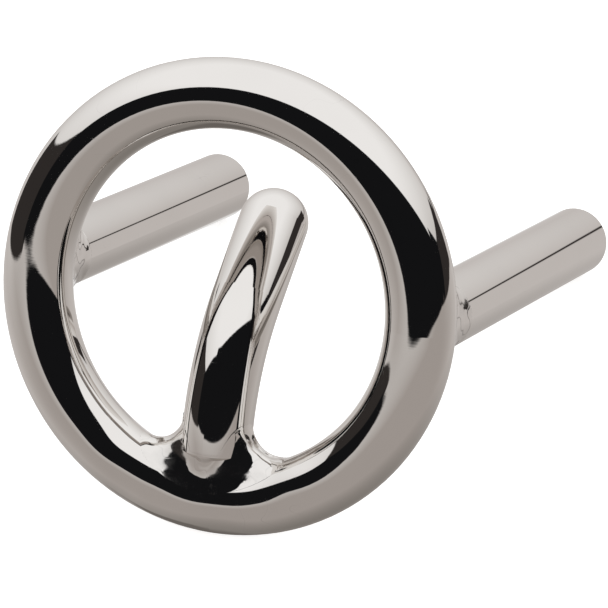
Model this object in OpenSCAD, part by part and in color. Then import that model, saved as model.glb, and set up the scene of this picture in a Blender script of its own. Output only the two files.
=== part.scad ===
// A closed ring of round bar with three round bar prongs welded to it.
// Two straight prongs stand square off the back of the ring, one on each side.
// A third prong rises from the bottom of the opening and bends backward.
// The part is drawn as it rests, on the bottom of the ring and on the ends of the two
// straight prongs, so the ring leans back. +Z is up, +X is right, and the front faces -Y.
// The origin is on that surface, at the middle of the footprint.

/* [Ring] */
// Diameter of the ring, from bar centre to bar centre
ring_d = 58; // [54:1:90]
// Diameter of the round bar that the ring and the prongs are cut from
bar_d = 10; // [8:0.5:10]
// Width of the weld that closes the ring, along the bar
closing_weld_w = 2; // [1:0.5:3]

/* [Straight prongs] */
// Length of a straight prong, from the middle of the ring bar to its free end
prong_l = 67; // [45:1:90]
// Angle of the straight prongs above the ring's level diameter
prong_rise = 1.5; // [0:0.5:6]
// Radius of the rounded edge at the free ends
end_round = 0.8; // [0.4:0.1:2]

/* [Centre prong] */
// Length of its straight foot, from the middle of the ring bar
foot_l = 7.5; // [7.5:0.5:10]
// Radius of the bend, on the bar's centre line
bend_r = 30; // [20:1:45]
// Angle that the bar is bent through
bend_angle = 41; // [20:1:55]
// Length of the straight stretch after the bend, with its domed tip
tip_l = 18; // [8:1:22]

/* [Welds] */
// Radius of the unbevelled core at the root of each prong, as a share of the bar's radius
core_share = 0.6; // [0.6:0.05:0.7]
// Radius of the hollow of the welds above and below a straight prong
side_hollow_r = 3; // [2.6:0.1:3.4]
// Radius of the hollow of the welds on both sides of the centre prong
foot_hollow_r = 4; // [3.4:0.1:4.4]

/* [Hidden] */
$fn = 96;

ring_r = ring_d / 2;
bar_r = bar_d / 2;
core_r = core_share * bar_r;

// The closing weld is at the bottom of the ring, under the foot of the centre prong.
closing_angle = closing_weld_w / ring_r * 180 / PI;

// The bevel at a prong's root opens at 45 degrees, from the core out to the full bar.
bevel_top = bar_r + bar_r - core_r;
// At the sides the weld metal is ground back a little below the bar's own surface.
ground_back = 0.2;
// The domed tip is this much slimmer than the bend that it continues, and it starts
// this far inside the bend.
tip_step = 0.01;
tip_overlap = 0.5;

// A hollow bites this far into both bars, so that the weld ends in a definite edge.
hollow_bite = 0.25;
// A corner weld is this wide on each side of the bars' common plane.
weld_half_w = 0.76 * bar_r;
// The rim of a hollow is this far round its circle from the middle.
rim_angle = 33;

// Beside a straight prong the ring's back is level, but the ring curves away sideways,
// and the corner welds turn to follow it.
side_hollow = bar_r + side_hollow_r - hollow_bite;
follow_angle = 6;
// Beside the centre prong the inside of the ring curves up toward the prong.
foot_hollow_x = bar_r + foot_hollow_r - hollow_bite;
foot_hollow_turn = ring_r - bar_r - foot_hollow_r + hollow_bite;
foot_hollow_z = ring_r - sqrt(foot_hollow_turn ^ 2 - foot_hollow_x ^ 2);

// At rest the ends of the straight prongs touch the same plane as the ring:
// run * sin(lean) - drop * cos(lean) = rim
run = prong_l - end_round;
rim = bar_r - end_round;
prong_x = ring_r * cos(prong_rise);
prong_z = ring_r * sin(prong_rise);
drop = ring_r + prong_z - rim;
lean = asin(rim / sqrt(run * run + drop * drop)) + atan2(drop, run);

// The ring's centre, from the middle of the footprint.
front_y = -ring_r * sin(lean) - bar_r;
back_y = run * cos(lean) + (prong_z + rim) * sin(lean) + end_round;
ring_centre = [0, -(front_y + back_y) / 2, ring_r * cos(lean) + bar_r];

bar_colour = [0.80, 0.79, 0.78];
weld_colour = [0.70, 0.68, 0.66];

// Sets down the children, drawn with the ring upright about the origin, as the part rests.
module at_rest() {
    translate(ring_centre)
        rotate([-lean, 0, 0])
            children();
}

// The whole ring as one torus about the Y axis.
module ring_torus() {
    rotate([90, 0, 0])
        rotate_extrude()
            translate([ring_r, 0])
                circle(r = bar_r);
}

// A slice of space from the Y axis outward, centred on the bottom of the ring.
module bottom_slice(angle) {
    reach = ring_r + 2 * bar_r;
    rotate([90, 0, 0])
        rotate_extrude(angle = angle, start = 270 - angle / 2)
            translate([0, -reach])
                square([reach, 2 * reach]);
}

// Moves the children from the Z axis to a straight prong: -1 is the left one, 1 the right.
module at_side(side) {
    translate([side * prong_x, 0, prong_z])
        rotate([-90, 0, 0])
            children();
}

// Moves the children from the Z axis to the foot of the centre prong.
module at_foot() {
    translate([0, 0, -ring_r])
        children();
}

// Outline of a prong's root, from the middle of the ring bar: the core and the bevel.
module root_outline() {
    polygon([[0, 0], [core_r, 0], [core_r, bar_r], [bar_r, bevel_top], [0, bevel_top]]);
}

// A straight prong along +Z, before it is coped to the ring.
module straight_bar() {
    rotate_extrude() {
        root_outline();
        translate([0, bevel_top])
            square([bar_r, run - bevel_top]);
        translate([0, run])
            square([rim, end_round]);
        translate([rim, run])
            intersection() {
                circle(r = end_round);
                square(end_round);
            }
    }
}

// The centre prong along +Z, bent toward +Y, before it is coped to the ring.
module bent_bar() {
    rotate_extrude() {
        root_outline();
        translate([0, bevel_top])
            square([bar_r, foot_l - bevel_top]);
    }
    translate([0, 0, foot_l]) {
        bend();
        bent_tip();
    }
}

// The bend: a stretch of torus that starts at the origin along +Z and turns toward +Y.
module bend() {
    translate([0, bend_r, 0])
        rotate([90, 0, 90])
            rotate_extrude(angle = bend_angle, start = 180 - bend_angle)
                translate([bend_r, 0])
                    circle(r = bar_r);
}

// The straight stretch after the bend, with its domed tip. It is a hair slimmer than the
// bend and starts inside it, so that the two overlap cleanly.
module bent_tip() {
    tip_r = bar_r - tip_step;
    translate([0, bend_r, 0])
        rotate([-bend_angle, 0, 0])
            translate([0, -bend_r, 0])
                rotate_extrude()
                    union() {
                        translate([0, -tip_overlap])
                            square([tip_r, tip_l - tip_r + tip_overlap]);
                        translate([0, tip_l - tip_r])
                            intersection() {
                                circle(r = tip_r);
                                square(tip_r);
                            }
                    }
}

// Weld metal in the corner between a prong along +Z and the ring bar beside +X.
// It is a turned blob with a round hollow, and its axis stands in the corner, square to
// the bars' common plane, so the hollow sweeps across the corner from side to side.
// hollow_at is the centre of the hollow's circle in that plane. The box keeps the blob
// on its own side of the prong.
module corner_weld(hollow_r, hollow_at) {
    hollow_ring_r = hollow_r + weld_half_w;
    rim_r = norm([hollow_ring_r - hollow_r * cos(rim_angle), hollow_r * sin(rim_angle)]);
    intersection() {
        translate([core_r / 2, -bar_d, -bar_d])
            cube([2 * bar_d, 2 * bar_d, 3 * bar_d]);
        rotate([0, -atan2(hollow_at[1], hollow_at[0]), 0])
            translate([norm(hollow_at) - hollow_ring_r, 0, 0])
                rotate_extrude()
                    difference() {
                        intersection() {
                            circle(r = rim_r);
                            translate([0, -rim_r])
                                square([rim_r, 2 * rim_r]);
                        }
                        translate([hollow_ring_r, 0])
                            circle(r = hollow_r);
                    }
    }
}

// Ring bar, bent round from a straight bar, with a gap left for the closing weld.
module ring_bar() {
    color(bar_colour)
        at_rest()
            difference() {
                ring_torus();
                bottom_slice(closing_angle);
            }
}

// Weld metal that closes the ring, ground flush with the bar.
module ring_closing_weld() {
    color(weld_colour)
        at_rest()
            intersection() {
                ring_torus();
                bottom_slice(closing_angle);
            }
}

// A straight prong, coped to the ring.
module side_prong(side) {
    difference() {
        at_side(side)
            straight_bar();
        ring_torus();
    }
}

// The weld of a straight prong: it fills the bevel and both corners.
module side_weld(side) {
    difference() {
        at_side(side) {
            cylinder(r = bar_r - ground_back, h = bevel_top);
            for (turn = [90 + side * follow_angle, -90 - side * follow_angle])
                rotate([0, 0, turn])
                    corner_weld(side_hollow_r, [side_hollow, side_hollow]);
        }
        ring_torus();
        at_side(side)
            straight_bar();
    }
}

module left_prong() {
    color(bar_colour)
        at_rest()
            side_prong(-1);
}

module right_prong() {
    color(bar_colour)
        at_rest()
            side_prong(1);
}

module centre_prong() {
    color(bar_colour)
        at_rest()
            difference() {
                at_foot()
                    bent_bar();
                ring_torus();
            }
}

module left_prong_weld() {
    color(weld_colour)
        at_rest()
            side_weld(-1);
}

module right_prong_weld() {
    color(weld_colour)
        at_rest()
            side_weld(1);
}

// The weld at the foot of the centre prong.
module centre_prong_weld() {
    color(weld_colour)
        at_rest()
            difference() {
                at_foot() {
                    cylinder(r = bar_r - ground_back, h = bevel_top);
                    for (turn = [0, 180])
                        rotate([0, 0, turn])
                            corner_weld(foot_hollow_r, [foot_hollow_x, foot_hollow_z]);
                }
                ring_torus();
                at_foot()
                    bent_bar();
            }
}

ring_bar();
ring_closing_weld();
left_prong();
right_prong();
centre_prong();
left_prong_weld();
right_prong_weld();
centre_prong_weld();
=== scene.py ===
# %% [markdown]
# # A ring of round steel bar with three welded prongs
# The object is one piece of polished metalwork, perhaps part of a hand puzzle. A smith
# would bend a round bar into a ring, close it with a weld, and then weld three short bars
# to it: two straight ones that stand off the back, and one that rises from the bottom of
# the opening and bends back. Everything is then polished until it is a mirror.
#
# The shapes come from the CAD model. This lesson gives them their looks: the polished
# steel, the lumpy weld metal, and the studio, because a mirror only shows what is
# round it.

# %% Load the frame
import math

import bmesh
import bpy
from mathutils import Matrix, Vector, noise


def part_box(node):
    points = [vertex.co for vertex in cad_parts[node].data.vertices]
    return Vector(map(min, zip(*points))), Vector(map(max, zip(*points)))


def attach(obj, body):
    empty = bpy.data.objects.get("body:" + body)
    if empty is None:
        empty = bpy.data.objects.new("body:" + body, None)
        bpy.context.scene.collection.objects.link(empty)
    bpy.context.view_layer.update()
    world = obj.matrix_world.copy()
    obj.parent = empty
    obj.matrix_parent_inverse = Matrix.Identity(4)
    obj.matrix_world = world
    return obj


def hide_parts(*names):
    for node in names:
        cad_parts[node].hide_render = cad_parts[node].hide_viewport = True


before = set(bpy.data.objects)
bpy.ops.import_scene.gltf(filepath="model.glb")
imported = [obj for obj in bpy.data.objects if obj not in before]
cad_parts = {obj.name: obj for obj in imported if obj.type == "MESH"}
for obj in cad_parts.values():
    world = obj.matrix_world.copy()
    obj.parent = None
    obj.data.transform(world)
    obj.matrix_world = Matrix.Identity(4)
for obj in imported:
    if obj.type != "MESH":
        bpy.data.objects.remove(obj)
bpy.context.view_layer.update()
scene = bpy.context.scene
print("nodes:", ", ".join(sorted(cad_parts)))

# %% [markdown]
# ## Two helpers for writing shaders
# A shader in Blender is a graph of small nodes. Drawing such a graph in code takes many
# lines, so two helpers keep the recipes short. A `Wire` is the output of a node, and a
# sum written with wires, such as `1 - mask`, adds the Math nodes by itself. A `Bench` is
# where nodes are put together: its one method adds any node, sets the node's own
# settings, and then fills its sockets with values or wires.


# %% A wire that can be used in sums
class Wire:
    """The output of a node. A sum written with wires adds Math nodes."""

    def __init__(self, bench, socket):
        self.bench = bench
        self.socket = socket

    def math(self, operation, *values):
        return self.bench.node("ShaderNodeMath", {"operation": operation}, values)

    def __add__(self, other):
        return self.math("ADD", self, other)

    def __radd__(self, other):
        return self.math("ADD", other, self)

    def __sub__(self, other):
        return self.math("SUBTRACT", self, other)

    def __rsub__(self, other):
        return self.math("SUBTRACT", other, self)

    def __mul__(self, other):
        return self.math("MULTIPLY", self, other)

    def __rmul__(self, other):
        return self.math("MULTIPLY", other, self)

    def __truediv__(self, other):
        return self.math("DIVIDE", self, other)

    def __rtruediv__(self, other):
        return self.math("DIVIDE", other, self)

    def __abs__(self):
        return self.math("ABSOLUTE", self)


# %% A bench that nodes are put together on
class Bench:
    """Adds nodes to one node tree, which starts empty."""

    def __init__(self, owner):
        owner.use_nodes = True
        self.tree = owner.node_tree
        self.tree.nodes.clear()

    def node(self, kind, settings=None, sockets=(), output=0):
        """Adds a node: its settings first, then the values or wires of its sockets."""
        node = self.tree.nodes.new(kind)
        for name, value in (settings or {}).items():
            if name == "stops":
                self.set_stops(node.color_ramp, value)
            else:
                setattr(node, name, value)
        named = sockets.items() if isinstance(sockets, dict) else enumerate(sockets)
        for name, value in named:
            if isinstance(value, Wire):
                self.tree.links.new(value.socket, node.inputs[name])
            else:
                node.inputs[name].default_value = value
        return Wire(self, node.outputs[output]) if len(node.outputs) else node

    def set_stops(self, ramp, stops):
        """Gives a colour ramp its stops, as pairs of position and colour."""
        while len(ramp.elements) < len(stops):
            ramp.elements.new(1.0)
        for element, (position, colour) in zip(ramp.elements, stops):
            element.position = position
            element.color = colour


# %% [markdown]
# ## The camera
# A long lens stands well back, so the bars hardly taper toward the far ends. It looks
# from the front right and from above, through the ring and down on the prongs, and it is
# tipped a little to the left. It is aimed a little beside the ring's centre, to leave
# room for the prong on the right.

# %% Place the camera
ring_low, ring_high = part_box("ring_bar")
ring_centre = (ring_low + ring_high) / 2

camera_turn = math.radians(25.2)
camera_height = math.radians(35.7)
camera_roll = math.radians(-6.1)
camera_distance = 0.70
aim_right = 0.0108
aim_up = -0.0009


def direction(turn, height):
    """A unit vector: turn goes round from the front to the right, in radians."""
    return Vector((
        math.sin(turn) * math.cos(height),
        -math.cos(turn) * math.cos(height),
        math.sin(height),
    ))


def sides(facing_way, tilt):
    """The right and the up of something that faces that way and is tilted, in radians."""
    level = Vector((0, 0, 1)).cross(facing_way).normalized()
    upright = facing_way.cross(level)
    right = level * math.cos(tilt) + upright * math.sin(tilt)
    return right, facing_way.cross(right)


back = direction(camera_turn, camera_height)
right, up = sides(back, camera_roll)
aim = ring_centre + right * aim_right + up * aim_up

camera_data = bpy.data.cameras.new("camera")
camera_data.lens = 296
camera_data.sensor_width = 36
camera = bpy.data.objects.new("camera", camera_data)
scene.collection.objects.link(camera)
camera.rotation_mode = "QUATERNION"
turned = Matrix((right, up, back)).transposed()
camera.rotation_quaternion = turned.to_quaternion()
camera.location = aim + back * camera_distance
scene.camera = camera
print("camera at", [round(value, 4) for value in camera.location])

# %% [markdown]
# ## The studio
# Polished steel has hardly any colour of its own. What is seen on it is a bent picture
# of the room. So the room is designed first: a small dome of white cloth that is bright
# above, with a pale grey table, a large black card round the lens, and dark boards low
# on the left and the right. A ball round the object carries the picture of that room,
# and only reflections can see it. Every board is a plain rectangle, given by where its
# middle is, how wide and tall it looks from the object, and its tilt. A straight edge
# and the middle of the dome span a plane, so "on the board" means "on the inner side of
# its four planes", which takes one dot product per edge.

# %% Colours as they should show on the steel
steel_colour = (0.800, 0.775, 0.750)


def linear(level):
    """The amount of light behind a screen level from 0 to 255."""
    share = level / 255
    return share / 12.92 if share < 0.04045 else ((share + 0.055) / 1.055) ** 2.4


def lit(red, green, blue):
    """The light that the steel has to reflect to show this screen colour."""
    wanted = (linear(red), linear(green), linear(blue))
    return tuple(w / s for w, s in zip(wanted, steel_colour)) + (1.0,)


# %% Make the dome
dome_radius = 0.25
dome_mesh = bpy.data.meshes.new("studio_dome")
shell = bmesh.new()
bmesh.ops.create_icosphere(shell, subdivisions=5, radius=dome_radius)
shell.to_mesh(dome_mesh)
shell.free()
dome = bpy.data.objects.new("studio_dome", dome_mesh)
scene.collection.objects.link(dome)
dome.location = (0, 0, 0.030)
dome.visible_camera = False
dome.visible_diffuse = False
dome.visible_transmission = False
dome.visible_shadow = False

dome_cloth = bpy.data.materials.new("dome_cloth")
dome_mesh.materials.append(dome_cloth)
room = Bench(dome_cloth)
spot = room.node("ShaderNodeTexCoord", output=3)
look = room.node("ShaderNodeVectorMath", {"operation": "NORMALIZE"}, [spot])
print("dome of", round(dome_radius * 2000), "mm")


# %% Masks for the boards
def facing(vector):
    """How far a place on the dome is turned toward a vector, from -1 to 1."""
    settings = {"operation": "DOT_PRODUCT"}
    return room.node("ShaderNodeVectorMath", settings, [look, vector], output=1)


def soft_step(value, low, high):
    """Goes smoothly from 0 at low to 1 at high."""
    settings = {"interpolation_type": "SMOOTHSTEP"}
    return value.bench.node("ShaderNodeMapRange", settings, [value, low, high, 0.0, 1.0])


def board(turn, height, wide, tall, tilt, softness=0.01):
    """A mask that is 1 on a rectangle, which is measured in degrees. Its edge is soft."""
    middle = direction(math.radians(turn), math.radians(height))
    right_way, up_way = sides(middle, math.radians(tilt))
    masks = []
    for way, size in ((right_way, wide), (up_way, tall)):
        reach = math.radians(size / 2)
        for edge_way in (way, -way):
            edge = middle * math.sin(reach) - edge_way * math.cos(reach)
            masks.append(soft_step(facing(edge), -softness, softness))
    return masks[3] * (masks[2] * (masks[1] * masks[0]))


def cover(under, over, mask):
    """Lays one colour over another where the mask is 1."""
    sockets = {"Factor": mask, 6: under, 7: over}
    return room.node("ShaderNodeMix", {"data_type": "RGBA"}, sockets, output=2)


# %% [markdown]
# The table is darker in front, in the shadow of the black card, than at the back, where
# the dome lights it. So there are two ramps from straight down to straight up, and one
# fades into the other from the front to the back.

# %% The table and the cloth
# The darkest table colour, straight down, is painted shade: the table in shadow right under
# the object.
table_shadow_below = lit(120, 114, 108)
table_front = lit(155, 147, 141)
table_back = lit(185, 178, 173)
table_shade = lit(100, 94, 89)
cloth_low = lit(210, 206, 202)
cloth_high = lit(233, 230, 227)
board_grey = lit(45, 41, 39)
card_black = lit(18, 18, 19)


def ramp(*stops):
    """A colour for each height in degrees, and the colours between them."""
    height = facing(Vector((0, 0, 1))) * 0.5 + 0.5
    placed = [(math.sin(math.radians(degrees)) * 0.5 + 0.5, colour)
              for degrees, colour in stops]
    return room.node("ShaderNodeValToRGB", {"stops": placed}, [height])


in_front = ramp((-90, table_shadow_below), (-35, table_front), (0, table_front),
                (25, cloth_low), (50, cloth_high))
behind = ramp((-90, table_shadow_below), (-35, table_back), (-15, table_back),
              (10, cloth_low), (45, cloth_high))
frontness = soft_step(facing(direction(camera_turn, 0)), -0.6, 0.6)
light = cover(behind, in_front, frontness)

# %% [markdown]
# The boards are laid over that one after another: a bright patch of the table and the
# shade beside it, both at the back left, then the dark boards, and the black card last.
# A smaller black card stands on its corner at the right end of the large one.
# The seam is the thin dark gap behind the object where the cloth meets the table.

# %% The boards
bright_patch = board(-148, -37, 36, 18, 0, softness=0.04)
light = cover(light, cloth_low, bright_patch)
shade = board(-108, -68, 36, 18, 0, softness=0.06)
light = cover(light, table_shade, shade)
left_board = board(-76, 8, 68, 24, 20)
light = cover(light, board_grey, left_board)
right_board = board(117, -2, 60, 18, -15)
light = cover(light, board_grey, right_board)
seam = board(162, -15, 50, 1.8, -8)
light = cover(light, board_grey, seam)
black_card = board(26, 33, 140, 50, -7)
light = cover(light, card_black, black_card)
small_card = board(98, 8, 18, 20, -45)
light = cover(light, card_black, small_card)

shining = room.node("ShaderNodeEmission", None, [light, 1.0])
room.node("ShaderNodeOutputMaterial", None, [shining])
dome_cloth.cycles.emission_sampling = "NONE"
print("dome nodes:", len(room.tree.nodes))

# %% [markdown]
# ## White paper all round
# Behind the object there is plain white paper, lit softly from everywhere. The floor is
# a sheet of the same paper. It glows a little by itself, so that it stays white round
# the object and at most a faint contact shadow is left. The steel doesn't see it, because
# the dome stands in its way.

# %% The backdrop
world = bpy.data.worlds.new("paper")
scene.world = world
air = Bench(world)
paper = air.node("ShaderNodeBackground", None, [(1.0, 1.0, 1.0, 1.0), 1.0])
air.node("ShaderNodeOutputWorld", None, [paper])
scene.view_settings.view_transform = "Standard"

# %% The floor
half_size = 3.0
floor_mesh = bpy.data.meshes.new("floor")
corners = [(-half_size, -half_size, 0), (half_size, -half_size, 0),
           (half_size, half_size, 0), (-half_size, half_size, 0)]
floor_mesh.from_pydata(corners, [], [(0, 1, 2, 3)])
floor = bpy.data.objects.new("floor", floor_mesh)
scene.collection.objects.link(floor)
floor.location.z = -0.0001
floor.visible_glossy = False

floor_paper = bpy.data.materials.new("floor_paper")
floor_mesh.materials.append(floor_paper)
sheet = Bench(floor_paper)
matt = sheet.node("ShaderNodeBsdfDiffuse", None, [(0.80, 0.80, 0.80, 1.0)])
glow = sheet.node("ShaderNodeEmission", None, [(1.0, 1.0, 1.0, 1.0), 0.7])
both = sheet.node("ShaderNodeAddShader", None, [matt, glow])
sheet.node("ShaderNodeOutputMaterial", None, [both])

# %% [markdown]
# ## Where the ring and the prongs are
# The welds and the finishes follow the bars, so they need the ring's centre, its axis
# and the roots of the prongs. All of them come from the boxes of the CAD nodes. The
# ring leans back, and its height gives the angle.

# %% Measure the bars
prong_low, prong_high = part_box("right_prong")
bar_radius = (prong_high.x - prong_low.x) / 2
ring_radius = ring_high.x - bar_radius
lean = math.acos(((ring_high.z - ring_low.z) / 2 - bar_radius) / ring_radius)
ring_axis = Vector((0, math.cos(lean), -math.sin(lean)))
ring_up = Vector((0, math.sin(lean), math.cos(lean)))
prong_x = (prong_high.x + prong_low.x) / 2
prong_rise = math.sqrt(ring_radius ** 2 - prong_x ** 2)
foot = ring_centre - ring_up * ring_radius
print("bar", round(bar_radius * 2000, 2), "mm, leaning back", round(math.degrees(lean), 1))

# %% [markdown]
# ## Polished steel
# The bars are ground with finer and finer belts and then buffed with a soft wheel. What
# is left is a mirror with a little life in it. The belt ran across the bar, so there are
# hair-fine lines that way. The wheel pressed harder in some places than in others, and
# left the surface a little wavy. Use has added a few fine scratches. None of it changes
# the colour much. It changes how sharp the reflection is, which is the roughness, and it
# bends the reflection by a hair, which is what a Bump node does. The weld that closes the
# ring is ground flush with it, so it gets the ring's own recipe, only a little duller.


# %% Helpers for the finish
def clouds(place, scale, detail=2.0):
    """Soft noise with about one patch per 1/scale metres."""
    sockets = {"Vector": place, "Scale": scale, "Detail": detail}
    return place.bench.node("ShaderNodeTexNoise", None, sockets)


def vector_math(operation, first, second, output=0):
    """Adds a Vector Math node. Output 0 is its vector and output 1 its number."""
    settings = {"operation": operation}
    return first.bench.node("ShaderNodeVectorMath", settings, [first, second], output)


def scaled(bench, vector, factor):
    """A vector made longer or shorter."""
    settings = {"operation": "SCALE"}
    return bench.node("ShaderNodeVectorMath", settings, {0: vector, "Scale": factor})


def along_ring(place):
    """How far round the ring a place is, as a vector of length 1 from the ring's centre."""
    out = vector_math("SUBTRACT", place, ring_centre)
    aside = vector_math("DOT_PRODUCT", out, ring_axis, output=1)
    flat = vector_math("SUBTRACT", out, scaled(place.bench, ring_axis, aside))
    return place.bench.node("ShaderNodeVectorMath", {"operation": "NORMALIZE"}, [flat])


def along_axis(axis):
    """Makes the same for a straight bar that runs along an axis."""
    def nearest(place):
        length = vector_math("DOT_PRODUCT", place, axis, output=1)
        return scaled(place.bench, axis, length / ring_radius)
    return nearest


def darkened_steel(bench, strength):
    """The steel's own colour, made a little darker where the strength is under 1."""
    settings = {"data_type": "RGBA", "blend_type": "MULTIPLY"}
    sockets = {"Factor": 1.0, 6: steel_colour + (1.0,), 7: strength}
    return bench.node("ShaderNodeMix", settings, sockets, output=2)


# %% The recipe for a polished bar
def polished_bar(name, along, foot_waves, dullness=0.0):
    """Buffed steel with belt lines across the bar.

    The wheel left waves of this height, in metres, near the foot of the centre prong.
    """
    material = bpy.data.materials.new(name)
    bench = Bench(material)
    place = bench.node("ShaderNodeTexCoord", output=3)
    belt_way = vector_math("ADD", along(place), scaled(bench, place, 1.2))
    belt_lines = clouds(belt_way, 160.0, 4.0)
    buffed = soft_step(clouds(place, 75.0, 3.0), 0.35, 0.70)
    handled = soft_step(clouds(place, 140.0, 1.0), 0.52, 0.66)
    hairline = 1 - soft_step(abs(clouds(place, 210.0, 0.0) - 0.5), 0.0, 0.0035)
    scratched = hairline * handled
    away = vector_math("DISTANCE", place, foot, output=1)
    near_foot = 1 - soft_step(away, 0.006, 0.028)
    waves = clouds(place, 75.0, 0.0) * 0.000012
    worked = clouds(place, 120.0, 0.0) * near_foot * foot_waves
    fine = belt_lines * 0.0000005 - scratched * 0.0000006
    bump = bench.node("ShaderNodeBump", None,
                      {"Strength": 1.0, "Distance": 1.0, "Height": waves + worked + fine})
    rough = buffed * 0.030 * (belt_lines + 0.4) + scratched * 0.10 + (0.018 + dullness)
    tint = darkened_steel(bench, 1 - buffed * 0.02 - scratched * 0.08)
    metal = bench.node("ShaderNodeBsdfPrincipled", None, {
        "Base Color": tint,
        "Metallic": 1.0,
        "Roughness": rough,
        "Normal": bump,
    })
    bench.node("ShaderNodeOutputMaterial", None, [metal])
    return material


ring_steel = polished_bar("polished_ring_steel", along_ring, 0.00090)
prong_steel = polished_bar("polished_prong_steel", along_axis(ring_axis), 0.0)
foot_steel = polished_bar("polished_foot_steel", along_axis(ring_up), 0.00003)
closing_steel = polished_bar("flush_weld_steel", along_ring, 0.00090, dullness=0.012)
print("steel nodes:", len(ring_steel.node_tree.nodes))


# %% [markdown]
# Weld metal freezes in small waves, and the wheel can't get deep into a corner. So a
# weld stays lumpy: it has small facets, pinholes and duller patches between them. Where
# two waves of metal froze against each other a crease is left, and dark scale stays in it.
# The two side welds are the roughest, because the ring keeps the wheel away from them.

# %% The recipe for a polished weld
def polished_weld(name, lump, scale_left):
    """Buffed weld metal. The lumps are in metres; scale_left is from 0 to 1."""
    material = bpy.data.materials.new(name)
    bench = Bench(material)
    place = bench.node("ShaderNodeTexCoord", output=3)
    lumps = clouds(place, 420.0, 1.5)
    pits = 1 - soft_step(clouds(place, 700.0, 0.0), 0.08, 0.16)
    dull = soft_step(clouds(place, 300.0, 2.0), 0.45, 0.62)
    folds = abs(clouds(place, 260.0, 1.5) - 0.5)
    creases = (1 - soft_step(folds, 0.0, 0.022)) * scale_left
    height = lumps * lump - pits * 0.00002 - creases * 0.00003
    bump = bench.node("ShaderNodeBump", None,
                      {"Strength": 1.0, "Distance": 1.0, "Height": height})
    metal = bench.node("ShaderNodeBsdfPrincipled", None, {
        "Base Color": darkened_steel(bench, 1 - dull * 0.06 - pits * 0.35 - creases * 0.5),
        "Metallic": 1.0,
        "Roughness": 0.025 + dull * 0.09 + pits * 0.2 + creases * 0.2,
        "Normal": bump,
    })
    bench.node("ShaderNodeOutputMaterial", None, [metal])
    return material


foot_weld_steel = polished_weld("foot_weld_steel", 0.00004, 0.1)
side_weld_steel = polished_weld("side_weld_steel", 0.00006, 0.8)

# %% Give the bars their finish
finishes = {
    "ring_bar": ring_steel,
    "ring_closing_weld": closing_steel,
    "left_prong": prong_steel,
    "right_prong": prong_steel,
    "centre_prong": foot_steel,
}
for name, material in finishes.items():
    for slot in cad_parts[name].material_slots:
        slot.material = material
    print(name, "gets", material.name)

# %% [markdown]
# ## The welds
# A weld bead fills the corner between two bars. Ground and polished, it becomes a
# hollow fillet that runs off smoothly into both bars. The shape is that of a ball
# rolled round the corner: in each direction round the prong, the ball touches the prong
# in one point and the ring in another, and the arc between the two points is the
# surface of the weld. The ball's place is found by halving a stretch again and again
# until the ball just touches the ring.


# %% Roll a ball round the corner
highest_ball = 0.03  # metres above the root, more than any weld here reaches
halvings = 40


def from_ring_frame(point):
    """Turns (right, back along the ring's axis, up) into a place on the leaning ring."""
    return ring_centre + Vector((point.x, 0, 0)) + ring_axis * point.y + ring_up * point.z


def on_middle_line(point):
    """The nearest point on the middle line of the ring bar."""
    return Vector((point.x, 0, point.z)).normalized() * ring_radius


def ball_centre(root, axis, side, ball, waist):
    """Where the ball's centre is when it touches both the prong and the ring."""
    low, high = 0.0, highest_ball
    for _ in range(halvings):
        height = (low + high) / 2
        centre = root + side * (waist + ball) + axis * height
        if (centre - on_middle_line(centre)).length < bar_radius + ball:
            low = height
        else:
            high = height
    return root + side * (waist + ball) + axis * high


# %% [markdown]
# The bead isn't perfect. Its width changes a little from place to place, and its face
# is lumpy where the wheel couldn't reach. Blender's own noise gives the lumps, and they
# fade out toward the two edges, so that the bead still meets the bars. Above the arc a
# short sleeve covers the prong's bevelled root, up to where the full bar begins. Both
# edges of the weld are sunk into the bars by a hair, so no step shows. In front and
# behind, where both bars are flush, the grinder has dug in, and the sleeve draws in to
# a waist. A mirror shows the smallest kink, so the slice also says which way the bars
# themselves face at its two edges, and how much each point should follow them.


# %% One slice through a weld
sleeve_steps = 16
arc_steps = 32
turns = 240
sleeve_top = bar_radius * 1.46  # just above the bevel, which ends at 1.4
hair = 0.00001
sleeve_sink, sleeve_sink_height = 0.00003, 0.0006
buried = 0.001
hidden_faces = 3
large_lumps, small_lumps = 450, 1100  # per metre


def weld_slice(root, axis, side, ball, waist, lump):
    """One slice: down the sleeve, down the arc, and back inside the bars.

    Each point comes with the way that the bar faces there, and how much to follow it.
    """
    centre = ball_centre(root, axis, side, ball, waist)
    to_ring = (on_middle_line(centre) - centre).normalized()
    opening = (-side).angle(to_ring, 0.0)
    touch_height = (centre - root).dot(axis)
    top = max(sleeve_top, touch_height + 0.0004)
    slice_points = [(root + side * (bar_radius - buried) + axis * top, side, 1.0)]
    for step in range(sleeve_steps):
        part = step / sleeve_steps
        height = top + (touch_height - top) * part
        drawn_in = (1 - math.cos(math.pi * min(1.0, part * 1.4))) / 2
        sunk = sleeve_sink * max(0.0, 1 - (top - height) / sleeve_sink_height)
        radius = bar_radius + hair - sunk + (waist - bar_radius) * drawn_in
        follow = 1 - min(1.0, drawn_in * 8)
        slice_points.append((root + side * radius + axis * height, side, follow))
    for step in range(arc_steps + 1):
        part = step / arc_steps
        way = (-side).slerp(to_ring, part) if opening > 0.01 else -side
        face = centre + way * ball
        fade = math.sin(math.pi * part) * min(1.0, opening)
        bumps = noise.noise(face * large_lumps) + 0.4 * noise.noise(face * small_lumps)
        lift = hair - 2 * hair * max(0.0, part * 7 - 6)
        follow = max(0.0, part * 5 - 4)
        slice_points.append((face - way * (lump * fade * bumps + lift), -way, follow))
    slice_points.append((centre + to_ring * (ball + buried), -to_ring, 1.0))
    slice_points.append((root + (side + axis) * bar_radius * 0.3, -side, 1.0))
    return slice_points


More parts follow.
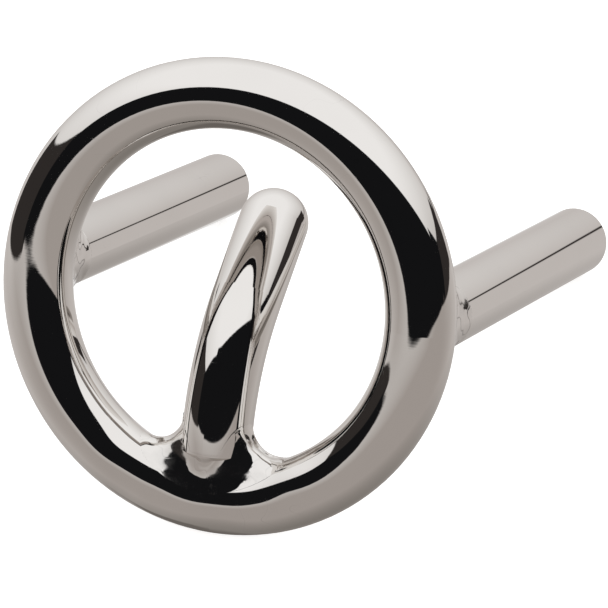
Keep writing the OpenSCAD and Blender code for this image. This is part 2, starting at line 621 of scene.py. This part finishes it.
# %% One weld
def make_weld(name, root, axis, way, ball_along, ball_across, hollow, lump, steel):
    """A weld round the root of a prong, with one ball along a way and another across it."""
    across = axis.cross(way)
    points, faces, guides = [], [], []
    for turn in range(turns):
        angle = 2 * math.pi * turn / turns
        side = way * math.cos(angle) + across * math.sin(angle)
        ball = ball_across + (ball_along - ball_across) * math.cos(angle) ** 2
        ball *= 1 + 0.10 * noise.noise(side * 1.7 + root * 300)
        waist = bar_radius - hollow * math.sin(angle) ** 4
        for point, bar_way, follow in weld_slice(root, axis, side, ball, waist, lump):
            points.append(from_ring_frame(point))
            guides.append((from_ring_frame(bar_way) - ring_centre, follow))
    row = len(points) // turns
    for turn in range(turns):
        here = turn * row
        after = (turn + 1) % turns * row
        for step in range(row):
            onward = (step + 1) % row
            faces.append((here + step, here + onward, after + onward, after + step))
    mesh = bpy.data.meshes.new(name)
    mesh.from_pydata(points, [], faces)
    for index, polygon in enumerate(mesh.polygons):
        polygon.use_smooth = 0 < index % row < row - hidden_faces
    own = [vertex.normal.copy() for vertex in mesh.vertices]
    normals = [normal.lerp(bar_way, follow).normalized()
               for normal, (bar_way, follow) in zip(own, guides)]
    mesh.normals_split_custom_set_from_vertices(normals)
    mesh.materials.append(steel)
    piece = bpy.data.objects.new(name, mesh)
    scene.collection.objects.link(piece)
    print(name, "has", len(points), "points")
    return piece


# %% Weld the three prongs
sideways, backward, upward = Vector((1, 0, 0)), Vector((0, 1, 0)), Vector((0, 0, 1))
right_root = Vector((prong_x, 0, prong_rise))
left_root = Vector((-prong_x, 0, prong_rise))
foot_root = upward * -ring_radius
welds = {
    "centre_prong_weld": make_weld(
        "foot_weld_bead", foot_root, upward, sideways, ball_along=0.0042,
        ball_across=0.0085, hollow=0.0008, lump=0.00005, steel=foot_weld_steel),
    "right_prong_weld": make_weld(
        "right_weld_bead", right_root, backward, upward, ball_along=0.0030,
        ball_across=0.0030, hollow=0.0002, lump=0.00014, steel=side_weld_steel),
    "left_prong_weld": make_weld(
        "left_weld_bead", left_root, backward, upward, ball_along=0.0034,
        ball_across=0.0034, hollow=0.0002, lump=0.00030, steel=side_weld_steel),
}
for node, piece in welds.items():
    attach(piece, "root")
    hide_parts(node)
